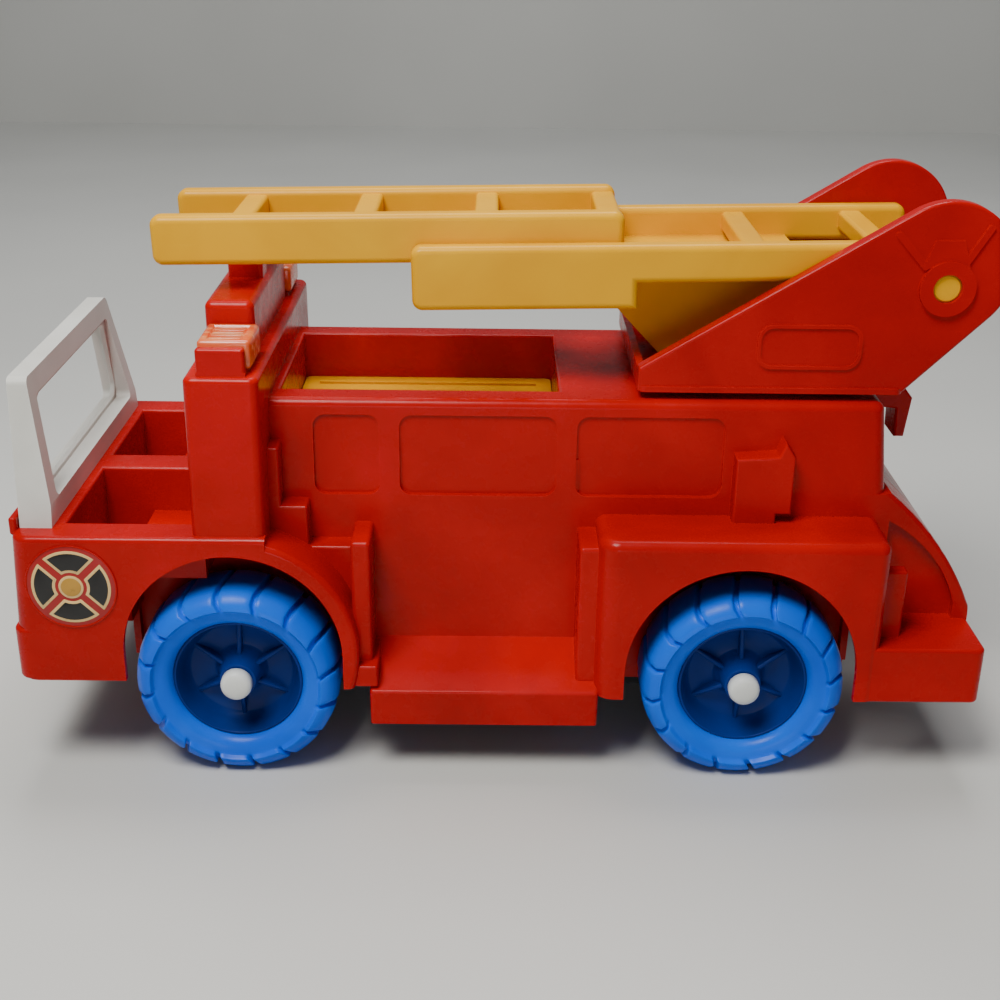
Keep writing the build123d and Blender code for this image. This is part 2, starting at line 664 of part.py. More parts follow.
def make_turntable():
    """Swivelling base with a round bearing below and two teardrop arms."""
    with BuildPart() as turntable:
        span(BASE_X, (-BASE_Y - 0.7, BASE_Y + 0.7), BASE_Z)
        fillet(turntable.edges().filter_by(Axis.Z), 2.5)
        with Locations((TURN_X, 0, (BASE_Z[0] + BOX_TOP_Z + 0.3) / 2)):
            Cylinder(TURN_R, BASE_Z[0] - BOX_TOP_Z - 0.3)
        with Locations((TURN_X, 0, (BASE_Z[0] + SPIGOT_END_Z) / 2)):
            Cylinder(SPIGOT_R, BASE_Z[0] - SPIGOT_END_Z)
        for side in (-1, 1):
            add(turntable_arm(side))
            add(arm_relief(side))
        span((BASE_X[0], BASE_X[0] + 2.4), (-BASE_Y, BASE_Y), (BASE_Z[0] + 0.4, 138.5))
        with Locations(Location((PIN_X, 0, PIN_Z), (90, 0, 0))):
            Cylinder(PIN_R, 200, mode=Mode.SUBTRACT)
        with Locations((TURN_X, 0, BASE_Z[0])):
            Cylinder(SCREW_R, 30, mode=Mode.SUBTRACT)
    return turntable


def make_turntable_retainer():
    """Disc under the deck that keeps the turntable in its bore."""
    with BuildPart() as turntable_retainer:
        with Locations((TURN_X, 0, SPIGOT_END_Z - 2)):
            Cylinder(RETAINER_R, 4)
        fillet(turntable_retainer.faces().sort_by(Axis.Z)[0].edges(), 1)
        with Locations((TURN_X, 0, SPIGOT_END_Z - 2)):
            Cylinder(SCREW_R, 10, mode=Mode.SUBTRACT)
    return turntable_retainer


def make_turntable_screw():
    """Central screw that clamps the retainer to the turntable."""
    with BuildPart() as turntable_screw:
        with Locations((TURN_X, 0, SPIGOT_END_Z - 5)):
            Cylinder(3.4, 2)
        with Locations((TURN_X, 0, SPIGOT_END_Z - 1)):
            Cylinder(SCREW_R, 8)
        with Locations((TURN_X, 0, SPIGOT_END_Z - 5.6)):
            Box(4, 0.9, 1.2, mode=Mode.SUBTRACT)
            Box(0.9, 4, 1.2, mode=Mode.SUBTRACT)
    return turntable_screw


def make_ladder_pin():
    """Pin pressed into both arms; the ladder's lugs turn on it."""
    with BuildPart() as ladder_pin:
        with Locations(Location((PIN_X, 0, PIN_Z), (90, 0, 0))):
            Cylinder(PIN_R, 2 * (BASE_Y + 0.4))
        chamfer(ladder_pin.edges().filter_by(GeomType.CIRCLE), 0.6)
    return ladder_pin


# ---- ladders ------------------------------------------------------------------------------
def make_main_ladder():
    """Lower ladder: channel rails that carry the extension, lugs on the pin, and a keel under it."""
    inner_y = MAIN_Y - RAIL_T
    outline = [(MAIN_U[0], DEEP_W), (DEEP_U, DEEP_W), (DEEP_U, MAIN_W[0]), (MAIN_U[1], MAIN_W[0]),
               (MAIN_U[1], MAIN_W[1]), (MAIN_U[0], MAIN_W[1])]
    with BuildPart(LADDER_PLANE) as main_ladder:
        for side in (-1, 1):
            add(ladder_rail(outline, side, MAIN_Y))
        for side in (-1, 1):
            with Locations(Location((0, side * (MAIN_Y - RAIL_T / 2), 0), (90, 0, 0))):
                Cylinder(9.0, RAIL_T)
        for u in LOW_BARS:
            span((u - RUNG_W / 2, u + RUNG_W / 2), (-inner_y - 1, inner_y + 1), (DEEP_W + 2, LOW_BAR_TOP))
        for u in (-59.0, -17.0):
            add(ladder_rung(u, inner_y, (4.5, 11.4)))
        span((-100, -40), (-inner_y - 1, inner_y + 1), (MAIN_W[0], MAIN_W[0] + 2.4))
        # hooks between the extension's rails hold its inner flanges down
        for u in LOW_BARS[:2]:
            both_sides((u - 3, u + 3), (12.0, 13.8), (LOW_BAR_TOP - 1, 10.2))
            both_sides((u - 3, u + 3), (12.0, 16.4), (8.6, 10.2))
        add(ladder_keel())
        with Locations(Location((0, 0, 0), (90, 0, 0))):
            Cylinder(PIN_R + RUN_CLEARANCE, 100, mode=Mode.SUBTRACT)
    return main_ladder


def ladder_rail(outline, side, outer_y):
    """One rail from its side view along the ladder, with well rounded edges."""
    y = sorted((side * outer_y, side * (outer_y - RAIL_T)))
    with BuildPart() as rail:
        prism_y(outline, y)
        ends = rail.edges().filter_by(Axis.Y).filter_by(lambda e: abs(e.center().X - DEEP_U) > 1)
        fillet(ends, RAIL_END_R)
        middle = (y[0] + y[1]) / 2
        fillet(rail.edges().filter_by(lambda e: abs(e.center().Y - middle) > RAIL_T / 2 - 0.1), RAIL_EDGE_R)
    return rail.part


def ladder_rung(u, inner_y, w):
    """One flat rung with rounded edges, let into both rails."""
    return rounded_block((u - RUNG_W / 2, u + RUNG_W / 2), (-inner_y - 3, inner_y + 3), w, RUNG_R)


def ladder_keel():
    """Keel whose flat foot rests just above the turntable floor; drawn along the ladder, from the pin."""
    foot = BASE_Z[1] + 0.3 - PIN_Z + KEEL_FRONT_U * -math.sin(tilt)
    with BuildPart() as keel:
        prism_y([(KEEL_FRONT_U - 30, MAIN_W[0] + 0.5), (KEEL_FRONT_U, foot), (KEEL_FRONT_U + 38, foot),
                 (KEEL_FRONT_U + 50, MAIN_W[0] + 0.5)], (-KEEL_Y, KEEL_Y))
    return keel.part


def make_extension_ladder():
    """Upper ladder that slides along the main one; its rails have small flanges turned inward."""
    inner_y = EXT_Y - RAIL_T
    outline = [(EXT_U[0], EXT_W[0]), (EXT_U[1], EXT_W[0]), (EXT_U[1], EXT_W[1]), (EXT_U[0], EXT_W[1])]
    with BuildPart(LADDER_PLANE) as extension_ladder:
        for side in (-1, 1):
            add(ladder_rail(outline, side, EXT_Y))
        both_sides((EXT_U[0] + 4, EXT_U[1] - 4), (14.4, inner_y + 3), (EXT_W[0], EXT_W[0] + 2.2))
        for i in range(4):
            u = -228.0 + i * RUNG_PITCH
            add(ladder_rung(u, inner_y, (13.0, 20.6)))
    return extension_ladder


# ---- write every piece --------------------------------------------------------------------
os.makedirs("parts", exist_ok=True)

CORNERS = {
    "front_left": (FRONT_AXLE_X, -1),
    "front_right": (FRONT_AXLE_X, 1),
    "rear_left": (REAR_AXLE_X, -1),
    "rear_right": (REAR_AXLE_X, 1),
}

pieces = {
    "body_shell": make_body_shell().part,
    "chassis_plate": make_chassis_plate().part,
    "chassis_screws": make_chassis_screws().part,
    "windscreen_frame": make_windscreen_frame().part,
    "bed_tray": make_bed_tray().part,
    "lamp_lens_left": make_lamp_lens(-1).part,
    "lamp_lens_right": make_lamp_lens(1).part,
    "badge_left": make_badge(-1).part,
    "badge_right": make_badge(1).part,
    "turntable": make_turntable().part,
    "turntable_retainer": make_turntable_retainer().part,
    "turntable_screw": make_turntable_screw().part,
    "ladder_pin": make_ladder_pin().part,
    "main_ladder": make_main_ladder().part,
    "extension_ladder": make_extension_ladder().part,
    "front_axle": make_axle(FRONT_AXLE_X),
    "rear_axle": make_axle(REAR_AXLE_X),
}
for corner, (axle_x, side) in CORNERS.items():
    pieces[f"tyre_{corner}"] = make_tyre(axle_x, side)
    pieces[f"hub_{corner}"] = make_hub(axle_x, side)
    pieces[f"axle_cap_{corner}"] = make_axle_cap(axle_x, side)

for name, part in pieces.items():
    part.label = name
    export_step(part, f"parts/{name}.step")
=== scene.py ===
"""Looks of a toy fire engine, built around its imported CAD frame.

Everything is in metres in the frame's own axes: +Z up, the front of the truck at -X, its left
side at -Y.  Sizes are written in millimetres and multiplied by MM.
"""

import json
import logging
import math
from contextlib import contextmanager
from dataclasses import dataclass
from enum import Enum
from typing import Any, Callable, Iterator, Sequence

import bmesh
import bpy
from mathutils import Matrix, Vector

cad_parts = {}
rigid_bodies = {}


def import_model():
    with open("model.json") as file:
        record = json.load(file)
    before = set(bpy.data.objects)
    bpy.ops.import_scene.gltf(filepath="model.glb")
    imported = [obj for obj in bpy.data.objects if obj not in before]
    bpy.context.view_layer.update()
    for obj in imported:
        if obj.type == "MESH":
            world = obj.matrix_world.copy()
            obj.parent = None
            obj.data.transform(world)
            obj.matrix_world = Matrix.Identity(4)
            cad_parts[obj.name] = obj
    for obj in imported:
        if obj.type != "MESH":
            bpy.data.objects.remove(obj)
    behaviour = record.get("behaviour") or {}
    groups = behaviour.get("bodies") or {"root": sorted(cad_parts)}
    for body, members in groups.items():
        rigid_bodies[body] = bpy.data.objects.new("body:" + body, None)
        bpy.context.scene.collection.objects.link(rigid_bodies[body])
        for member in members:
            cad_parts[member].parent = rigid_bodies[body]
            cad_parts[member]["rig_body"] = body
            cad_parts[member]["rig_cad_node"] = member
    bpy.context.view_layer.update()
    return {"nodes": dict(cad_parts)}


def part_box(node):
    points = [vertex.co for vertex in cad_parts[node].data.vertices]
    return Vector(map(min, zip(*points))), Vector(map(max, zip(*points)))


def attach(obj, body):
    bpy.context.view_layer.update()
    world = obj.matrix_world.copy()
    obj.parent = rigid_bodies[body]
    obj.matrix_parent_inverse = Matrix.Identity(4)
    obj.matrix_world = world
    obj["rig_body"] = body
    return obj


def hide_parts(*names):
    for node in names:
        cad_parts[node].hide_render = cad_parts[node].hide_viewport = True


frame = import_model()

MM = 0.001
LOG = logging.getLogger("fire_engine")

# sharper turns than this, in degrees, are shaded as edges
SMOOTH_ANGLE = 38.0
# sharper turns than this, in degrees, are rounded
ROUND_ANGLE = 32.0
# corners nearer than this are one corner, in mm
MERGE_MM = 0.002
# a Mix node has one set of sockets for each kind of value: these are its factor and its colours
MIX_FACTOR, MIX_FIRST, MIX_SECOND, MIX_RESULT = 0, 6, 7, 2

Point = tuple[float, float]
Triple = tuple[float, float, float]


class Side(Enum):
    """Side of the truck; the value is the sign of its Y."""

    LEFT = -1
    RIGHT = 1


class Element(Enum):
    """What is picked in edit mode; the value is the name of the mesh's list of them."""

    VERT = "verts"
    EDGE = "edges"
    FACE = "faces"


# ---- modelling helpers ------------------------------------------------------------------------
def activate(obj: bpy.types.Object) -> None:
    """Deselects everything, then selects obj and makes it active.

    Args:
        obj: The object to work on.
    """
    for other in bpy.context.view_layer.objects:
        other.select_set(False)
    obj.select_set(True)
    bpy.context.view_layer.objects.active = obj


@contextmanager
def editing(obj: bpy.types.Object, element: Element) -> Iterator[None]:
    """Opens obj in edit mode with nothing selected, and closes it afterwards.

    Args:
        obj: The object to edit.
        element: What is picked.
    """
    activate(obj)
    bpy.ops.object.mode_set(mode="EDIT")
    bpy.ops.mesh.select_mode(type=element.name)
    bpy.ops.mesh.select_all(action="DESELECT")
    yield
    bpy.ops.object.mode_set(mode="OBJECT")


def pick(obj: bpy.types.Object, element: Element, test: Callable[[Any], bool]) -> None:
    """Selects, in edit mode, each element that passes a test of its place or normal.

    Args:
        obj: The object in edit mode.
        element: What is picked.
        test: Takes the element and says whether it is wanted.
    """
    mesh = bmesh.from_edit_mesh(obj.data)
    for item in [item for item in getattr(mesh, element.value) if test(item)]:
        item.select_set(True)
    mesh.select_flush_mode()
    bmesh.update_edit_mesh(obj.data)


def settle(obj: bpy.types.Object, name: str) -> bpy.types.Object:
    """Puts an object's place into its mesh and names it.

    Args:
        obj: The object to settle.
        name: Its new name.

    Returns:
        The same object, at the origin, unturned and unscaled.
    """
    activate(obj)
    bpy.ops.object.transform_apply(location=True, rotation=True, scale=True)
    obj.name = name
    obj.data.name = name
    return obj


def block(
    name: str, low: Triple, high: Triple, round_mm: float, segments: int = 3
) -> bpy.types.Object:
    """A box between two corners with all its edges rounded.

    Args:
        name: Name of the piece.
        low: Lowest corner, in mm.
        high: Highest corner, in mm.
        round_mm: Radius of the edges.
        segments: Steps across each rounded edge.

    Returns:
        The new object.
    """
    size = [(b - a) * MM for a, b in zip(low, high)]
    centre = [(a + b) / 2 * MM for a, b in zip(low, high)]
    bpy.ops.object.select_all(action="DESELECT")
    bpy.ops.mesh.primitive_cube_add(size=1.0, location=centre, scale=size)
    obj = settle(bpy.context.object, name)
    with editing(obj, Element.EDGE):
        bpy.ops.mesh.select_all(action="SELECT")
        bpy.ops.mesh.bevel(offset=round_mm * MM, segments=segments, affect="EDGES")
    return obj


def chain(name: str, points: Sequence[Triple]) -> bpy.types.Object:
    """An open line of edges, drawn by extruding one vertex from point to point.

    Args:
        name: Name of the piece.
        points: The corners, in mm.

    Returns:
        The new object, with edges only.
    """
    bpy.ops.object.select_all(action="DESELECT")
    bpy.ops.mesh.primitive_plane_add(size=MM, location=(0, 0, 0))
    obj = settle(bpy.context.object, name)
    path = [Vector(p) * MM for p in points]
    with editing(obj, Element.VERT):
        bpy.ops.mesh.select_all(action="SELECT")
        bpy.ops.mesh.merge(type="CENTER")
        bpy.ops.transform.translate(value=path[0])
        for start, end in zip(path, path[1:]):
            bpy.ops.mesh.extrude_vertices_move(TRANSFORM_OT_translate={"value": end - start})
    return obj


def turned(name: str, outline: Sequence[Point], steps: int) -> bpy.types.Object:
    """A closed outline spun a full turn about the Y axis.

    Args:
        name: Name of the piece.
        outline: (radius, distance along Y) of each corner, in mm.
        steps: Steps round the turn.

    Returns:
        The new object, centred on the origin.
    """
    closed = [*outline, outline[0]]
    obj = chain(name, [(radius, along, 0.0) for radius, along in closed])
    with editing(obj, Element.VERT):
        bpy.ops.mesh.select_all(action="SELECT")
        bpy.ops.mesh.spin(steps=steps, angle=2 * math.pi, center=(0, 0, 0), axis=(0, 1, 0))
    tidy_mesh(obj)
    return obj


def tidy_mesh(obj: bpy.types.Object) -> None:
    """Merges doubled vertices and turns all the faces outwards.

    Args:
        obj: The object to mend.
    """
    with editing(obj, Element.VERT):
        bpy.ops.mesh.select_all(action="SELECT")
        bpy.ops.mesh.remove_doubles(threshold=MERGE_MM * MM)
        bpy.ops.mesh.normals_make_consistent(inside=False)


def soften(obj: bpy.types.Object, width_mm: float) -> None:
    """Rounds every sharp edge of a piece and shades it smooth.

    Args:
        obj: The object to soften.
        width_mm: Width of the rounding.
    """
    activate(obj)
    bevel = obj.modifiers.new("rounded edges", "BEVEL")
    bevel.width = width_mm * MM
    bevel.segments = 2
    bevel.limit_method = "ANGLE"
    bevel.angle_limit = math.radians(ROUND_ANGLE)
    bevel.harden_normals = False
    bevel.use_clamp_overlap = True
    bpy.ops.object.modifier_apply(modifier=bevel.name)
    bpy.ops.object.shade_smooth_by_angle(angle=math.radians(SMOOTH_ANGLE))


def joined(name: str, objs: Sequence[bpy.types.Object]) -> bpy.types.Object:
    """Several objects made one, with the slots of all of them.

    Args:
        name: Name of the result.
        objs: The objects; the first keeps its place in the list of slots.

    Returns:
        The joined object.
    """
    activate(objs[0])
    for obj in objs:
        obj.select_set(True)
    bpy.ops.object.join()
    return settle(bpy.context.object, name)


def copied(obj: bpy.types.Object, name: str, matrix: Matrix) -> bpy.types.Object:
    """A copy of obj with its own mesh, moved by a matrix.

    Args:
        obj: The object to copy.
        name: Name of the copy.
        matrix: Where the copy goes; a move or a turn, never a mirroring.

    Returns:
        The copy, settled.
    """
    activate(obj)
    bpy.ops.object.duplicate(linked=False)
    twin = bpy.context.object
    twin.matrix_world = matrix
    return settle(twin, name)


def clean_copy(node: str, name: str, round_mm: float = 0.0) -> bpy.types.Object:
    """A merged copy of a CAD node, shaded so that flats look flat and rounded edges look round.

    Args:
        node: The CAD node, which is left alone.
        name: Name of the copy.
        round_mm: Width of an extra rounding, for a piece whose CAD edges are sharp.

    Returns:
        The copy.
    """
    activate(frame["nodes"][node])
    bpy.ops.object.duplicate(linked=False)
    obj = bpy.context.object
    obj.parent = None
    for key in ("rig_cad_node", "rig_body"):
        if key in obj:
            del obj[key]
    obj.matrix_world = Matrix.Identity(4)
    settle(obj, name)
    obj.data.materials.clear()
    with editing(obj, Element.VERT):
        bpy.ops.mesh.select_all(action="SELECT")
        bpy.ops.mesh.customdata_custom_splitnormals_clear()
        bpy.ops.mesh.remove_doubles(threshold=MERGE_MM * MM)
    if round_mm:
        soften(obj, round_mm)
    activate(obj)
    bpy.ops.object.shade_smooth_by_angle(angle=math.radians(SMOOTH_ANGLE))
    weigh_normals(obj)
    return obj


def weigh_normals(obj: bpy.types.Object) -> None:
    """Lets the larger faces at each corner set the shading there, so that flats stay flat.

    Args:
        obj: The object, already shaded smooth.
    """
    activate(obj)
    weighted = obj.modifiers.new("weighted normals", "WEIGHTED_NORMAL")
    weighted.weight = 80
    weighted.keep_sharp = True
    bpy.ops.object.modifier_apply(modifier=weighted.name)


# ---- finishes ---------------------------------------------------------------------------------
def linear(colour: str) -> tuple[float, float, float, float]:
    """Turns an sRGB hex colour into linear RGBA.

    Args:
        colour: Such as "A81112".

    Returns:
        The linear colour with alpha 1.
    """
    channels = [int(colour[i : i + 2], 16) / 255 for i in (0, 2, 4)]
    values = [c / 12.92 if c <= 0.04045 else ((c + 0.055) / 1.055) ** 2.4 for c in channels]
    return (values[0], values[1], values[2], 1.0)


def per_mm(size: float) -> float:
    """Texture scale for a pattern of a known size.

    Args:
        size: How far apart its features are, in mm.

    Returns:
        The scale for coordinates in metres.
    """
    return 1.0 / (size * MM)


def add_node(
    tree: bpy.types.NodeTree, kind: str, inputs: dict[Any, Any] | None = None, **settings: Any
) -> Any:
    """Adds a node with its settings, input values and links.

    Args:
        tree: The material's node tree.
        kind: The node's type name.
        inputs: Input name or index to a value, or to an output socket to link.
        settings: Attributes of the node.

    Returns:
        The node.
    """
    node = tree.nodes.new(kind)
    for key, value in settings.items():
        setattr(node, key, value)
    for key, value in (inputs or {}).items():
        if isinstance(value, bpy.types.NodeSocket):
            tree.links.new(value, node.inputs[key])
        else:
            node.inputs[key].default_value = value
    return node


def new_material(name: str) -> tuple[bpy.types.Material, bpy.types.NodeTree, Any]:
    """Starts a material.

    Args:
        name: Name of the real material.

    Returns:
        The material, its node tree and its surface shader.
    """
    material = bpy.data.materials.new(name)
    material.use_nodes = True
    tree = material.node_tree
    tree.nodes.clear()
    shader = add_node(tree, "ShaderNodeBsdfPrincipled")
    add_node(tree, "ShaderNodeOutputMaterial", {"Surface": shader.outputs["BSDF"]})
    return material, tree, shader


@dataclass(frozen=True)
class MouldedPlastic:
    """Moulded polyolefin, coloured all through.

    It gives the eye a soft gloss over a slightly wavy skin, with edges rubbed a little paler, fine
    scratches, and a slow change of shade where the pigment flowed.
    """

    name: str
    colour: str
    deep: str
    rubbed: str
    roughness: float = 0.27
    gloss: float = 0.18
    wear: float = 0.30
    scratch: float = 0.10
    wave_mm: float = 0.20
    grain_mm: float = 0.03
    ior: float = 1.49

    def build(self) -> bpy.types.Material:
        """Makes the material.

        Returns:
            The material.
        """
        material, tree, shader = new_material(self.name)
        place = add_node(tree, "ShaderNodeTexCoord").outputs["Object"]
        # dull scuffs some 9 mm apart
        scuffs = add_node(
            tree,
            "ShaderNodeTexNoise",
            {"Vector": place, "Scale": per_mm(9), "Detail": 5.0, "Roughness": 0.65},
        ).outputs["Fac"]
        tree.links.new(self._colour(tree, place, scuffs), shader.inputs["Base Color"])
        dull = add_node(
            tree,
            "ShaderNodeMapRange",
            {
                "Value": scuffs,
                "From Min": 0.40,
                "From Max": 0.72,
                "To Min": self.roughness - 0.03,
                "To Max": self.roughness + 0.07,
            },
        )
        tree.links.new(dull.outputs["Result"], shader.inputs["Roughness"])
        tree.links.new(self._skin(tree, place), shader.inputs["Normal"])
        shader.inputs["IOR"].default_value = self.ior
        shader.inputs["Specular IOR Level"].default_value = self.gloss
        return material

    def _colour(self, tree: bpy.types.NodeTree, place: Any, scuffs: Any) -> Any:
        """The pigment with its flow, scratches and rubbed edges.

        Args:
            tree: The material's node tree.
            place: Socket with the Object coordinates.
            scuffs: Socket with the noise that breaks the wear up.

        Returns:
            The socket with the colour.
        """
        # pigment flow about 55 mm across
        flow = add_node(
            tree,
            "ShaderNodeTexNoise",
            {"Vector": place, "Scale": per_mm(55), "Detail": 3.0, "Distortion": 0.6},
        )
        tone = add_node(
            tree,
            "ShaderNodeMapRange",
            {"Value": flow.outputs["Fac"], "From Min": 0.35, "From Max": 0.68},
        )
        pigment = add_node(
            tree,
            "ShaderNodeMix",
            {
                MIX_FACTOR: tone.outputs["Result"],
                MIX_FIRST: linear(self.deep),
                MIX_SECOND: linear(self.colour),
            },
            data_type="RGBA",
        )
        # scratches along the truck, drawn 1.1 mm apart so that they show
        along = add_node(
            tree,
            "ShaderNodeMapping",
            {"Vector": place, "Scale": (0.12, 1.0, 1.0), "Rotation": (0.0, 0.5, 0.3)},
        )
        lines = add_node(
            tree,
            "ShaderNodeTexNoise",
            {"Vector": along.outputs["Vector"], "Scale": per_mm(1.1), "Detail": 4.0, "Roughness": 0.7},
        )
        scratch = add_node(
            tree,
            "ShaderNodeMapRange",
            {"Value": lines.outputs["Fac"], "From Min": 0.62, "From Max": 0.74, "To Max": self.scratch},
        )
        worn = add_node(
            tree,
            "ShaderNodeMath",
            {0: scratch.outputs["Result"], 1: self._rubbed_edges(tree, scuffs)},
            operation="MAXIMUM",
        )
        return add_node(
            tree,
            "ShaderNodeMix",
            {
                MIX_FACTOR: worn.outputs[0],
                MIX_FIRST: pigment.outputs[MIX_RESULT],
                MIX_SECOND: linear(self.rubbed),
            },
            data_type="RGBA",
        ).outputs[MIX_RESULT]

    def _rubbed_edges(self, tree: bpy.types.NodeTree, scuffs: Any) -> Any:
        """Where edges are rubbed: there a rounded normal parts from the true one.

        Args:
            tree: The material's node tree.
            scuffs: Socket with the noise that breaks the wear up.

        Returns:
            The socket with the mask.
        """
        rounded = add_node(tree, "ShaderNodeBevel", {"Radius": 0.8 * MM}, samples=4).outputs["Normal"]
        true = add_node(tree, "ShaderNodeNewGeometry").outputs["Normal"]
        likeness = add_node(
            tree, "ShaderNodeVectorMath", {0: rounded, 1: true}, operation="DOT_PRODUCT"
        )
        edge = add_node(
            tree,
            "ShaderNodeMapRange",
            {
                "Value": likeness.outputs["Value"],
                "From Min": 0.99,
                "From Max": 0.80,
                "To Max": self.wear,
            },
        )
        patch = add_node(
            tree,
            "ShaderNodeMapRange",
            {"Value": scuffs, "From Min": 0.38, "From Max": 0.62, "To Min": 0.35},
        )
        return add_node(
            tree,
            "ShaderNodeMath",
            {0: edge.outputs["Result"], 1: patch.outputs["Result"]},
            operation="MULTIPLY",
        ).outputs[0]

    def _skin(self, tree: bpy.types.NodeTree, place: Any) -> Any:
        """The moulded skin: slow waves about 22 mm apart, and a grain drawn at 0.7 mm so that it shows.

        Args:
            tree: The material's node tree.
            place: Socket with the Object coordinates.

        Returns:
            The socket with the normal.
        """
        waves = add_node(
            tree, "ShaderNodeTexNoise", {"Vector": place, "Scale": per_mm(22), "Detail": 1.0}
        )
        grain = add_node(
            tree, "ShaderNodeTexNoise", {"Vector": place, "Scale": per_mm(0.7), "Detail": 2.0}
        )
        wavy = add_node(
            tree,
            "ShaderNodeBump",
            {"Height": waves.outputs["Fac"], "Distance": self.wave_mm * MM, "Strength": 0.6},
        )
        return add_node(
            tree,
            "ShaderNodeBump",
            {
                "Height": grain.outputs["Fac"],
                "Distance": self.grain_mm * MM,
                "Strength": 0.5,
                "Normal": wavy.outputs["Normal"],
            },
        ).outputs["Normal"]


@dataclass(frozen=True)
class PlatedSteel:
    """Zinc-plated steel, drawn and tumbled: a grey metal with duller spots where the plating thinned."""

    name: str = "zinc-plated steel"
    colour: str = "B4B6BA"
    thin: str = "7E8086"

    def build(self) -> bpy.types.Material:
        """Makes the material.

        Returns:
            The material.
        """
        material, tree, shader = new_material(self.name)
        place = add_node(tree, "ShaderNodeTexCoord").outputs["Object"]
        # spots about 2.5 mm apart
        spots = add_node(
            tree, "ShaderNodeTexNoise", {"Vector": place, "Scale": per_mm(2.5), "Detail": 4.0}
        )
        thinned = add_node(
            tree,
            "ShaderNodeMapRange",
            {"Value": spots.outputs["Fac"], "From Min": 0.4, "From Max": 0.7},
        )
        colour = add_node(
            tree,
            "ShaderNodeMix",
            {
                MIX_FACTOR: thinned.outputs["Result"],
                MIX_FIRST: linear(self.colour),
                MIX_SECOND: linear(self.thin),
            },
            data_type="RGBA",
        )
        dull = add_node(
            tree,
            "ShaderNodeMapRange",
            {
                "Value": spots.outputs["Fac"],
                "From Min": 0.3,
                "From Max": 0.7,
                "To Min": 0.25,
                "To Max": 0.45,
            },
        )
        tree.links.new(colour.outputs[MIX_RESULT], shader.inputs["Base Color"])
        tree.links.new(dull.outputs["Result"], shader.inputs["Roughness"])
        shader.inputs["Metallic"].default_value = 1.0
        return material


@dataclass(frozen=True)
class ClearTintedPlastic:
    """Tinted clear polystyrene: light goes into it, and faint flow lines show along it."""

    name: str
    colour: str
    streak: str
    ior: float = 1.59
    clear: float = 0.15
    glow: float = 0.3

    def build(self) -> bpy.types.Material:
        """Makes the material.

        Returns:
            The material.
        """
        material, tree, shader = new_material(self.name)
        place = add_node(tree, "ShaderNodeTexCoord").outputs["Object"]
        along = add_node(tree, "ShaderNodeMapping", {"Vector": place, "Scale": (0.15, 1.0, 1.0)})
        # flow lines about 3 mm apart
        lines = add_node(
            tree,
            "ShaderNodeTexNoise",
            {"Vector": along.outputs["Vector"], "Scale": per_mm(3), "Detail": 2.0},
        )
        streaks = add_node(
            tree,
            "ShaderNodeMapRange",
            {"Value": lines.outputs["Fac"], "From Min": 0.40, "From Max": 0.70},
        )
        colour = add_node(
            tree,
            "ShaderNodeMix",
            {
                MIX_FACTOR: streaks.outputs["Result"],
                MIX_FIRST: linear(self.colour),
                MIX_SECOND: linear(self.streak),
            },
            data_type="RGBA",
        )
        dull = add_node(
            tree,
            "ShaderNodeMapRange",
            {
                "Value": lines.outputs["Fac"],
                "From Min": 0.3,
                "From Max": 0.7,
                "To Min": 0.16,
                "To Max": 0.30,
            },
        )
        tree.links.new(colour.outputs[MIX_RESULT], shader.inputs["Base Color"])
        tree.links.new(dull.outputs["Result"], shader.inputs["Roughness"])
        shader.inputs["IOR"].default_value = self.ior
        shader.inputs["Transmission Weight"].default_value = self.clear
        shader.inputs["Subsurface Weight"].default_value = self.glow
        # warm light reaches further into it than cold light
        shader.inputs["Subsurface Radius"].default_value = (4 * MM, 2 * MM, 1 * MM)
        shader.inputs["Subsurface Scale"].default_value = 1.0
        return material


@dataclass(frozen=True)
class PrintedInk:
    """Ink printed on film: flat colour, slightly rubbed through in small spots."""

    name: str
    colour: str
    rubbed: str
    metallic: float = 0.0

    def build(self) -> bpy.types.Material:
        """Makes the material.

        Returns:
            The material.
        """
        material, tree, shader = new_material(self.name)
        place = add_node(tree, "ShaderNodeTexCoord").outputs["Object"]
        # rubbed spots about 1.6 mm apart
        spots = add_node(
            tree,
            "ShaderNodeTexNoise",
            {"Vector": place, "Scale": per_mm(1.6), "Detail": 4.0, "Roughness": 0.7},
        )
        through = add_node(
            tree,
            "ShaderNodeMapRange",
            {"Value": spots.outputs["Fac"], "From Min": 0.58, "From Max": 0.72, "To Max": 0.5},
        )
        colour = add_node(
            tree,
            "ShaderNodeMix",
            {
                MIX_FACTOR: through.outputs["Result"],
                MIX_FIRST: linear(self.colour),
                MIX_SECOND: linear(self.rubbed),
            },
            data_type="RGBA",
        )
        dull = add_node(
            tree,
            "ShaderNodeMapRange",
            {
                "Value": spots.outputs["Fac"],
                "From Min": 0.3,
                "From Max": 0.7,
                "To Min": 0.28,
                "To Max": 0.5,
            },
        )
        tree.links.new(colour.outputs[MIX_RESULT], shader.inputs["Base Color"])
        tree.links.new(dull.outputs["Result"], shader.inputs["Roughness"])
        shader.inputs["Metallic"].default_value = self.metallic
        return material


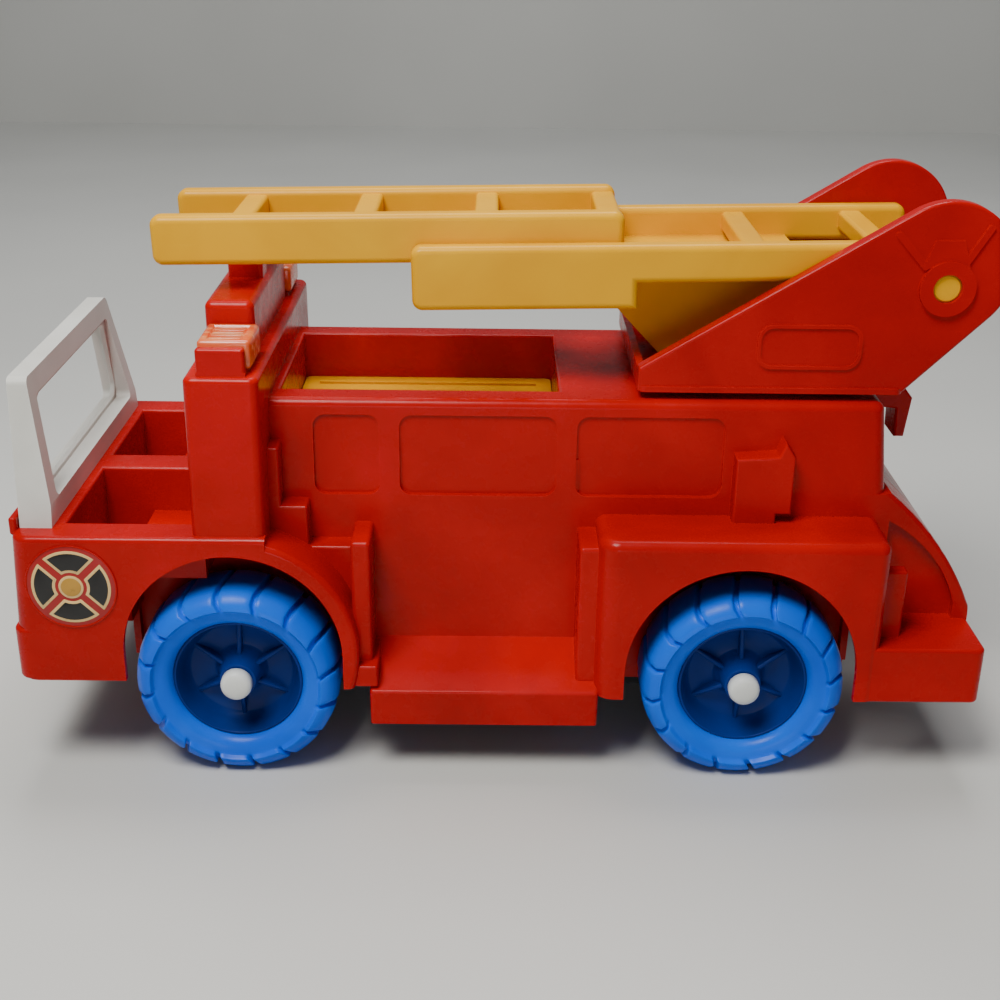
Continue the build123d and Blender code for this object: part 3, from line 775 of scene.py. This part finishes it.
class Palette:
    """Every finish on the truck, built once."""

    def __init__(self) -> None:
        """Builds the materials."""
        self.red = MouldedPlastic("moulded polyethylene, red", "BA0003", "A00002", "E8241C").build()
        self.yellow = MouldedPlastic(
            "moulded polyethylene, yellow", "E8AA00", "DA9A00", "F6C430", roughness=0.32
        ).build()
        self.white = MouldedPlastic(
            "moulded polyethylene, white", "DCDCD6", "CAC9C2", "F4F4F0", roughness=0.32
        ).build()
        self.blue = MouldedPlastic(
            "blown polyethylene, bright blue", "0066EC", "0054D4", "1C8CF6", roughness=0.34
        ).build()
        self.navy = MouldedPlastic(
            "moulded polyethylene, dark blue", "002A7C", "001F60", "0A4498", roughness=0.34, wear=0.15
        ).build()
        self.cap = MouldedPlastic(
            "moulded polyethylene, off-white", "DCDEDA", "CACDC9", "F2F2EE", wear=0.2
        ).build()
        self.black = MouldedPlastic(
            "moulded polyethylene, black", "16171A", "0C0D0F", "3A3B3E", roughness=0.48
        ).build()
        self.amber = ClearTintedPlastic("tinted polystyrene, amber", "EA5A26", "F0905A").build()
        self.steel = PlatedSteel().build()
        self.ink_black = PrintedInk("printed black ink", "0E0C0B", "3B2A20").build()
        self.ink_cream = PrintedInk("printed cream ink", "DDB878", "B88A4A").build()
        self.ink_gold = PrintedInk("printed gold ink", "B98A34", "7C5A24", metallic=0.2).build()
        self.ink_red = PrintedInk("printed red ink", "9C0406", "7A0305").build()


def dress(obj: bpy.types.Object, material: bpy.types.Material) -> None:
    """Gives an object one material.

    Args:
        obj: The object.
        material: The only material it has afterwards.
    """
    obj.data.materials.clear()
    obj.data.materials.append(material)


def hand_in(obj: bpy.types.Object, body: str, node: str) -> None:
    """Tells the frame what a finished piece is.

    Args:
        obj: The piece.
        body: The body that it rides on.
        node: The CAD node that it stands for.
    """
    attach(obj, body)
    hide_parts(node)
    LOG.info("%s: %d faces, rides on %s", obj.name, len(obj.data.polygons), body)


def keep_shape(node: str, material: bpy.types.Material) -> None:
    """Dresses a CAD node that keeps its own shape.

    Args:
        node: The CAD node.
        material: Its material.
    """
    dress(frame["nodes"][node], material)
    LOG.info("%s keeps its CAD shape", node)


# ---- the truck --------------------------------------------------------------------------------
@dataclass
class Wheel:
    """One wheel: lugged tyre, dished hub with ribs, and the cap on the axle's end."""

    name: str
    side: Side
    palette: Palette
    radius: float = 34.5
    width: float = 23.0
    lugs: int = 16
    steps_per_lug: int = 7
    lug_height: float = 2.0
    lug_slant: float = 8.0
    lug_rounding: float = 0.55
    # how far the lugs come down the sides, and how far from the inner face they start
    lug_depth: float = 3.8
    lug_inset: float = 1.6
    # the slant grows from nothing at the first radius to all of it over this much more
    slant_from: float = 24.0
    slant_over: float = 8.0
    hub_bore: float = 2.56
    hub_steps: int = 72
    hub_rounding: float = 0.4
    ribs: int = 6
    rib_low: Triple = (6.4, 9.0, -0.8)
    rib_high: Triple = (19.4, 11.8, 0.8)
    rib_rounding: float = 0.6
    rib_rise: float = 3.0
    cap_steps: int = 48
    cap_smooth_angle: float = 50.0

    @property
    def centre(self) -> Vector:
        """The point on the wheel's axis at its inner face.

        Returns:
            The point, in mm.
        """
        low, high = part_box(f"tyre_{self.name}")
        middle = (low + high) / 2 / MM
        inner = min(abs(low.y), abs(high.y)) / MM
        return Vector((middle.x, self.side.value * inner, middle.z))

    def placed(self, obj: bpy.types.Object, name: str) -> bpy.types.Object:
        """Moves a piece made about the Y axis, with its outer face towards +Y, onto the wheel.

        Args:
            obj: The piece.
            name: Its final name.

        Returns:
            The piece, settled.
        """
        turn = Matrix.Identity(4) if self.side is Side.RIGHT else Matrix.Rotation(math.pi, 4, "Z")
        obj.matrix_world = Matrix.Translation(self.centre * MM) @ turn
        return settle(obj, name)

    def tyre(self) -> None:
        """Spins the tyre, raises the lugs and slants its tread."""
        base = self.radius - self.lug_height
        # up the inner side, over the tread, then down the outer side to the bead
        outline = [
            (22.0, 1.0),
            (29.0, 0.6),
            (base - 1.6, 2.2),
            (base, 5.2),
            (base, 9.0),
            (base, 13.0),
            (base, 17.0),
            (base - 0.6, 20.2),
            (base - 2.2, 22.2),
            (base - 4.6, 23.3),
            (26.0, 23.0),
            (24.0, 22.2),
            (22.6, 20.8),
            (22.0, 19.0),
        ]
        steps = self.lugs * self.steps_per_lug
        obj = turned(f"tyre_mesh_{self.name}", outline, steps)
        obj.name = f"tyre_{self.name}"
        step = 2 * math.pi / steps

        def is_lug(face: bmesh.types.BMFace) -> bool:
            """Says whether a face is part of a lug and not of a groove.

            Args:
                face: A face of the tyre.

            Returns:
                True for a face to raise.
            """
            spot = face.calc_center_median() / MM
            reach = math.hypot(spot.x, spot.z)
            if reach < base - self.lug_depth or spot.y < self.lug_inset:
                return False
            index = math.floor((math.atan2(spot.z, spot.x) % (2 * math.pi)) / step)
            return index % self.steps_per_lug < self.steps_per_lug - 1

        with editing(obj, Element.FACE):
            pick(obj, Element.FACE, is_lug)
            bpy.ops.mesh.extrude_region_shrink_fatten(
                TRANSFORM_OT_shrink_fatten={"value": self.lug_height * MM, "use_even_offset": True}
            )
        self._slant(obj)
        tidy_mesh(obj)
        soften(obj, self.lug_rounding)
        self.placed(obj, f"tyre_look_{self.name}")
        dress(obj, self.palette.blue)
        hand_in(obj, f"wheel_{self.name}", f"tyre_{self.name}")

    def _slant(self, obj: bpy.types.Object) -> None:
        """Turns each slice of the tread a little further than the one inside it.

        Args:
            obj: The tyre, about the Y axis.
        """
        for vertex in obj.data.vertices:
            reach = math.hypot(vertex.co.x, vertex.co.z) / MM
            grip = min(1.0, max(0.0, (reach - self.slant_from) / self.slant_over))
            angle = math.radians(self.lug_slant) * (vertex.co.y / MM / self.width) * grip
            vertex.co = Matrix.Rotation(angle, 3, "Y") @ vertex.co

    def hub(self) -> None:
        """Spins the dished hub and stands ribs in its dish."""
        # the inner boss and back, out to the rim, then the dish and the outer boss
        outline = [
            (self.hub_bore, -2.4),
            (7.0, -2.4),
            (7.0, 7.0),
            (17.5, 8.0),
            (19.6, 3.0),
            (22.0, 2.0),
            (22.0, 19.5),
            (21.0, 19.6),
            (19.6, 14.0),
            (17.6, 11.4),
            (13.0, 10.4),
            (9.0, 10.8),
            (7.2, 13.0),
            (6.2, 20.2),
            (self.hub_bore, 20.2),
        ]
        dish = turned(f"hub_dish_{self.name}", outline, self.hub_steps)
        soften(dish, self.hub_rounding)
        parts = [dish]
        rib = block("hub_rib", self.rib_low, self.rib_high, self.rib_rounding)
        # the rib's end at the boss is drawn up the boss
        boss_end, top_side = 9 * MM, 10.6 * MM
        with editing(rib, Element.VERT):
            pick(rib, Element.VERT, lambda v: v.co.x < boss_end and v.co.y > top_side)
            bpy.ops.transform.translate(value=(0, self.rib_rise * MM, 0))
        for i in range(self.ribs):
            turn = Matrix.Rotation(2 * math.pi * (i + 0.5) / self.ribs, 4, "Y")
            parts.append(copied(rib, f"hub_rib_{i}", turn))
        bpy.data.objects.remove(rib)
        obj = joined(f"hub_parts_{self.name}", parts)
        activate(obj)
        bpy.ops.object.shade_smooth_by_angle(angle=math.radians(SMOOTH_ANGLE))
        self.placed(obj, f"hub_look_{self.name}")
        dress(obj, self.palette.navy)
        hand_in(obj, f"wheel_{self.name}", f"hub_{self.name}")

    def cap(self) -> None:
        """Spins the domed cap that is pushed on the axle."""
        # round the skirt, over the dome, then back under it
        outline = [
            (2.5, 20.8),
            (5.0, 20.8),
            (5.3, 21.1),
            (5.3, 23.4),
            (4.9, 24.6),
            (3.8, 25.2),
            (2.0, 25.45),
            (0.0, 25.5),
            (0.0, 23.7),
            (2.5, 23.7),
        ]
        obj = turned(f"cap_mesh_{self.name}", outline, self.cap_steps)
        activate(obj)
        bpy.ops.object.shade_smooth_by_angle(angle=math.radians(self.cap_smooth_angle))
        self.placed(obj, f"axle_cap_look_{self.name}")
        dress(obj, self.palette.cap)
        axle = self.name.split("_")[0]
        hand_in(obj, f"{axle}_axle", f"axle_cap_{self.name}")

    def build(self) -> None:
        """Makes the whole wheel."""
        self.tyre()
        self.hub()
        self.cap()


@dataclass
class Badge:
    """Round emblem: a ring, four flared petals and a centre disc, with no lettering."""

    side: Side
    palette: Palette
    disc_radius: float = 15.0
    petal_inner: float = 5.2
    petal_outer: float = 13.0
    petal_gap: float = 1.2
    line: float = 0.95
    petals: int = 4
    petal_inner_steps: int = 4
    petal_outer_steps: int = 12
    ring_width: float = 0.6
    centre_rim: float = 4.1
    centre_disc: float = 3.3
    # how far each layer stands out
    ground_height: float = 0.28
    ring_height: float = 0.45
    light_height: float = 0.40
    dark_height: float = 0.50
    centre_height: float = 0.64
    ring_rounding: float = 0.15
    plate_rounding: float = 0.12
    disc_steps: int = 48
    ring_steps: int = 72

    def plate(
        self, name: str, outline: Sequence[Point], height: float, material: bpy.types.Material
    ) -> bpy.types.Object:
        """A flat plate cut to an outline.

        Args:
            name: Name of the plate.
            outline: (x, z) of its corners from the badge's centre, in mm.
            height: How far it stands out.
            material: Its material.

        Returns:
            The plate, facing -Y from y = 0.
        """
        obj = chain(name, [(x, 0.0, z) for x, z in outline])
        with editing(obj, Element.VERT):
            bpy.ops.mesh.select_all(action="SELECT")
            bpy.ops.mesh.edge_face_add()
            bpy.ops.mesh.extrude_region_move(TRANSFORM_OT_translate={"value": (0, -height * MM, 0)})
            bpy.ops.mesh.select_all(action="SELECT")
            bpy.ops.mesh.normals_make_consistent(inside=False)
        soften(obj, self.plate_rounding)
        dress(obj, material)
        return obj

    def petal(self, shrink: float) -> list[Point]:
        """Outline of the top petal: a quarter of a ring, less a gap of even width at each side.

        Args:
            shrink: How much smaller it is all round, in mm.

        Returns:
            The (x, z) of its corners.
        """
        gap = self.petal_gap + shrink

        def arc(radius: float, steps: int) -> list[Point]:
            """Part of a circle between the petal's two sides.

            Args:
                radius: The circle's radius, in mm.
                steps: Steps along it.

            Returns:
                The (x, z) of its points, from left to right.
            """
            reach = math.pi / self.petals - math.asin(gap / radius)
            angles = [reach * (2 * i / steps - 1) for i in range(steps + 1)]
            return [(radius * math.sin(a), radius * math.cos(a)) for a in angles]

        inner = arc(self.petal_inner + shrink, self.petal_inner_steps)
        outer = arc(self.petal_outer - shrink, self.petal_outer_steps)
        return inner + outer[::-1]

    def disc(self, radius: float) -> list[Point]:
        """Outline of a round plate.

        Args:
            radius: Its radius, in mm.

        Returns:
            The (x, z) of its corners.
        """
        angles = [2 * math.pi * i / self.disc_steps for i in range(self.disc_steps)]
        return [(radius * math.cos(a), radius * math.sin(a)) for a in angles]

    def build(self) -> None:
        """Lays the plates on each other and puts the emblem on the truck."""
        name = self.side.name.lower()
        low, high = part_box(f"badge_{name}")
        inks = self.palette
        ground = self.disc(self.disc_radius)
        parts = [self.plate("badge_ground", ground, self.ground_height, inks.ink_red)]
        outer, inner, front = self.disc_radius, self.disc_radius - self.ring_width, -self.ring_height
        section = [(inner, 0.0), (outer, 0.0), (outer, front), (inner, front)]
        ring = turned("badge_ring", section, self.ring_steps)
        soften(ring, self.ring_rounding)
        dress(ring, inks.red)
        parts.append(ring)
        for shrink, height, ink in (
            (0.0, self.light_height, inks.ink_cream),
            (self.line, self.dark_height, inks.ink_black),
        ):
            petal = self.plate("badge_petal", self.petal(shrink), height, ink)
            for i in range(self.petals):
                turn = Matrix.Rotation(2 * math.pi * i / self.petals, 4, "Y")
                parts.append(copied(petal, f"badge_petal_{i}", turn))
            bpy.data.objects.remove(petal)
        for piece, radius, height, ink in (
            ("badge_centre_rim", self.centre_rim, self.dark_height, inks.ink_cream),
            ("badge_centre", self.centre_disc, self.centre_height, inks.ink_gold),
        ):
            parts.append(self.plate(piece, self.disc(radius), height, ink))
        obj = joined(f"badge_look_{name}", parts)
        face_y = high.y if self.side is Side.LEFT else low.y
        centre = Vector(((low.x + high.x) / 2, face_y, (low.z + high.z) / 2))
        turn = Matrix.Identity(4) if self.side is Side.LEFT else Matrix.Rotation(math.pi, 4, "Z")
        obj.matrix_world = Matrix.Translation(centre) @ turn
        settle(obj, f"badge_look_{name}")
        hand_in(obj, "body", f"badge_{name}")


@dataclass
class Lamp:
    """Moulded lamp lens on the cab's rear wall."""

    side: Side
    palette: Palette
    rounding: float = 1.4
    height: float = 9.4
    panel_margin: float = 1.2
    panel_slope: float = 0.4
    panel_depth: float = 0.5
    ridges: int = 5
    ridge_start: float = 4.0
    ridge_pitch: float = 3.0
    ridge_half: float = 0.6
    ridge_margin: float = 3.4
    ridge_rounding: float = 0.35
    # the ridges' feet and tops, down from the lens's top
    ridge_foot: float = 0.9
    ridge_top: float = 0.1

    def build(self) -> None:
        """Rounds a block, lets a panel into its top and stands fine ridges on it."""
        name = self.side.name.lower()
        low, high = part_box(f"lamp_lens_{name}")
        low, high = low / MM, high / MM
        base_z = high.z - self.height
        lens = block("lens", (low.x, low.y, base_z), (high.x, high.y, high.z), self.rounding, 4)
        with editing(lens, Element.FACE):
            pick(lens, Element.FACE, lambda f: f.normal.z > 0.999)
            bpy.ops.mesh.inset(thickness=self.panel_margin * MM, depth=0)
            bpy.ops.mesh.inset(thickness=self.panel_slope * MM, depth=-self.panel_depth * MM)
        parts = [lens]
        for i in range(self.ridges):
            y = low.y + self.ridge_start + self.ridge_pitch * i
            foot = (low.x + self.ridge_margin, y - self.ridge_half, high.z - self.ridge_foot)
            top = (high.x - self.ridge_margin, y + self.ridge_half, high.z - self.ridge_top)
            parts.append(block(f"ridge_{i}", foot, top, self.ridge_rounding))
        obj = joined(f"lamp_look_{name}", parts)
        activate(obj)
        bpy.ops.object.shade_smooth_by_angle(angle=math.radians(SMOOTH_ANGLE))
        dress(obj, self.palette.amber)
        hand_in(obj, "body", f"lamp_lens_{name}")


@dataclass
class Truck:
    """The body and everything fixed to it."""

    palette: Palette
    frame_rounding: float = 1.1
    # half widths and heights of the windscreen's opening, which narrows upwards as the surround does
    opening_half_low: float = 51.0
    opening_half_high: float = 44.6
    opening_bottom: float = 96.6
    opening_top: float = 130.4
    # the lip reaches this far behind the opening's edge and this far into it
    lip_behind: float = 0.8
    lip_into: float = 1.4
    lip_corner_outer: float = 3.0
    lip_corner_inner: float = 4.6
    lip_corner_steps: int = 6
    lip_thickness: float = 2.0
    lip_forward: float = 1.5
    lip_rounding: float = 0.5

    def shell(self) -> None:
        """Red body: a clean copy of the CAD shell, whose edges are already rounded."""
        obj = clean_copy("body_shell", "body_look")
        dress(obj, self.palette.red)
        hand_in(obj, "body", "body_shell")

    def windscreen(self) -> None:
        """White windscreen surround, with a thin lip round the inside of its opening."""
        frame_copy = clean_copy("windscreen_frame", "windscreen_frame_copy", self.frame_rounding)
        obj = joined("windscreen_look", [frame_copy, self.windscreen_lip()])
        weigh_normals(obj)
        dress(obj, self.palette.white)
        hand_in(obj, "body", "windscreen_frame")

    def windscreen_lip(self) -> bpy.types.Object:
        """A thin rounded rim that stands in from the opening's edges.

        Returns:
            The rim, not yet dressed.
        """
        low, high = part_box("windscreen_frame")
        x = (low.x + high.x) / 2 / MM - self.lip_forward

        def rim(inset: float, radius: float) -> list[Triple]:
            """A closed line round the opening.

            Args:
                inset: How far inside the opening's edge it runs, in mm.
                radius: Radius of its corners, in mm.

            Returns:
                Its points, the last the same as the first.
            """
            low_level, high_level = self.opening_bottom + inset, self.opening_top - inset
            points = []
            for y, z, first in ((-1, -1, 180), (1, -1, 270), (1, 1, 0), (-1, 1, 90)):
                half = (self.opening_half_low if z < 0 else self.opening_half_high) - inset - radius
                level = (low_level + radius) if z < 0 else (high_level - radius)
                for i in range(self.lip_corner_steps + 1):
                    a = math.radians(first + 90 * i / self.lip_corner_steps)
                    points.append((x, y * half + radius * math.cos(a), level + radius * math.sin(a)))
            return [*points, points[0]]

        outer = chain("windscreen_lip", rim(-self.lip_behind, self.lip_corner_outer))
        inner = chain("windscreen_lip_inner", rim(self.lip_into, self.lip_corner_inner))
        obj = joined("windscreen_lip", [outer, inner])
        with editing(obj, Element.EDGE):
            bpy.ops.mesh.select_all(action="SELECT")
            bpy.ops.mesh.remove_doubles(threshold=MERGE_MM * MM)
            bpy.ops.mesh.select_all(action="SELECT")
            bpy.ops.mesh.bridge_edge_loops()
            bpy.ops.mesh.select_all(action="SELECT")
            thickness = (self.lip_thickness * MM, 0, 0)
            bpy.ops.mesh.extrude_region_move(TRANSFORM_OT_translate={"value": thickness})
        tidy_mesh(obj)
        soften(obj, self.lip_rounding)
        return obj

    def bed(self) -> None:
        """Yellow floor of the bed."""
        obj = clean_copy("bed_tray", "bed_tray_look")
        dress(obj, self.palette.yellow)
        hand_in(obj, "body", "bed_tray")

    def underside(self) -> None:
        """Chassis, screws and axles keep their CAD shape."""
        for node, material in (
            ("chassis_plate", self.palette.black),
            ("chassis_screws", self.palette.steel),
            ("front_axle", self.palette.steel),
            ("rear_axle", self.palette.steel),
        ):
            keep_shape(node, material)

    def build(self) -> None:
        """Makes the body and its fittings."""
        self.shell()
        self.windscreen()
        self.bed()
        self.underside()
        for side in Side:
            Lamp(side, self.palette).build()
            Badge(side, self.palette).build()


@dataclass
class LadderGear:
    """Turntable, pin and the two ladders."""

    palette: Palette

    def build(self) -> None:
        """Makes the turntable and both ladders."""
        for node, material, slot in (
            ("turntable", self.palette.red, "body_red"),
            ("main_ladder", self.palette.yellow, "ladder_yellow"),
            ("extension_ladder", self.palette.yellow, "ladder_yellow"),
        ):
            # each rides on the body of its own name
            piece = clean_copy(node, f"{node}_look")
            dress(piece, material)
            hand_in(piece, node, node)
        for node, material in (
            ("ladder_pin", self.palette.yellow),
            ("turntable_retainer", self.palette.black),
            ("turntable_screw", self.palette.steel),
        ):
            keep_shape(node, material)


# ---- studio -----------------------------------------------------------------------------------
@dataclass(frozen=True)
class StudioCamera:
    """Where the camera stands and looks; angles in degrees."""

    place: Triple = (-3.5, -480.0, 281.9)
    pitch_down: float = 23.300
    yaw_right: float = 0.340
    roll: float = 0.735
    lens: float = 50.80
    sensor: float = 36.0

    def build(self) -> None:
        """Makes the scene's camera."""
        data = bpy.data.cameras.new("studio_camera")
        data.lens = self.lens
        data.sensor_width = self.sensor
        data.clip_start = 10 * MM
        camera = bpy.data.objects.new("studio_camera", data)
        bpy.context.scene.collection.objects.link(camera)
        camera.matrix_world = (
            Matrix.Translation(Vector(self.place) * MM)
            @ Matrix.Rotation(math.radians(-self.yaw_right), 4, "Z")
            @ Matrix.Rotation(math.radians(90 - self.pitch_down), 4, "X")
            @ Matrix.Rotation(math.radians(self.roll), 4, "Z")
        )
        bpy.context.scene.camera = camera


@dataclass(frozen=True)
class SoftBox:
    """A square soft light aimed at the truck; places and sizes in mm."""

    name: str
    place: Triple
    size: float
    watts: float
    tint: str = "FFFFFF"

    def build(self) -> None:
        """Makes the light."""
        data = bpy.data.lights.new(self.name, "AREA")
        data.shape = "SQUARE"
        data.size = self.size * MM
        data.energy = self.watts
        data.color = linear(self.tint)[:3]
        lamp = bpy.data.objects.new(self.name, data)
        bpy.context.scene.collection.objects.link(lamp)
        lamp.visible_camera = False
        lamp.location = Vector(self.place) * MM
        aim = Vector((0.0, 0.0, 80 * MM)) - lamp.location
        lamp.rotation_mode = "QUATERNION"
        lamp.rotation_quaternion = aim.to_track_quat("-Z", "Y")


class Studio:
    """Pale floor, soft lights and an even grey surround."""

    lights = (
        SoftBox("key_light", (-240.0, -400.0, 870.0), 360.0, 9.6, "FFFDF8"),
        SoftBox("front_light", (-60.0, -1100.0, 150.0), 300.0, 1.0),
        SoftBox("wall_light", (0.0, 500.0, 1300.0), 700.0, 12.0),
    )
    # metres: the board's first size, where its back edge stands, and the wall that rises there
    floor_size = 8.0
    floor_back = 1.4
    wall_height = 0.45
    surround = "D8DCE2"
    surround_strength = 0.22

    def floor(self) -> None:
        """Plain pale floor that runs up behind the truck."""
        bpy.ops.object.select_all(action="DESELECT")
        bpy.ops.mesh.primitive_plane_add(size=self.floor_size, location=(0, 0, 0))
        floor = settle(bpy.context.object, "studio_floor")
        half = self.floor_size / 2
        with editing(floor, Element.EDGE):
            pick(floor, Element.EDGE, lambda e: all(v.co.y > 0.9 * half for v in e.verts))
            bpy.ops.transform.translate(value=(0, self.floor_back - half, 0))
            rise = (0, 0, self.wall_height)
            bpy.ops.mesh.extrude_region_move(TRANSFORM_OT_translate={"value": rise})
        material, tree, shader = new_material("matt painted board, pale grey")
        place = add_node(tree, "ShaderNodeTexCoord").outputs["Object"]
        cloud = add_node(
            tree, "ShaderNodeTexNoise", {"Vector": place, "Scale": per_mm(300), "Detail": 2.0}
        )
        shade = add_node(
            tree,
            "ShaderNodeMapRange",
            {"Value": cloud.outputs["Fac"], "From Min": 0.3, "From Max": 0.7},
        )
        colour = add_node(
            tree,
            "ShaderNodeMix",
            {
                MIX_FACTOR: shade.outputs["Result"],
                MIX_FIRST: linear("C2C2BE"),
                MIX_SECOND: linear("CACAC6"),
            },
            data_type="RGBA",
        )
        tree.links.new(colour.outputs[MIX_RESULT], shader.inputs["Base Color"])
        shader.inputs["Roughness"].default_value = 0.6
        dress(floor, material)

    def build(self) -> None:
        """Makes the floor, lights, surround and camera."""
        self.floor()
        for light in self.lights:
            light.build()
        world = bpy.data.worlds.new("even grey surround")
        world.use_nodes = True
        background = world.node_tree.nodes["Background"]
        background.inputs["Color"].default_value = linear(self.surround)
        background.inputs["Strength"].default_value = self.surround_strength
        bpy.context.scene.world = world
        StudioCamera().build()


def main() -> None:
    """Builds the truck, its ladders and wheels, then the studio."""
    logging.basicConfig(level=logging.INFO, format="%(name)s: %(message)s")
    palette = Palette()
    Truck(palette).build()
    LadderGear(palette).build()
    for end in ("front", "rear"):
        for side in Side:
            Wheel(f"{end}_{side.name.lower()}", side, palette).build()
    Studio().build()


if __name__ == "__main__":
    main()
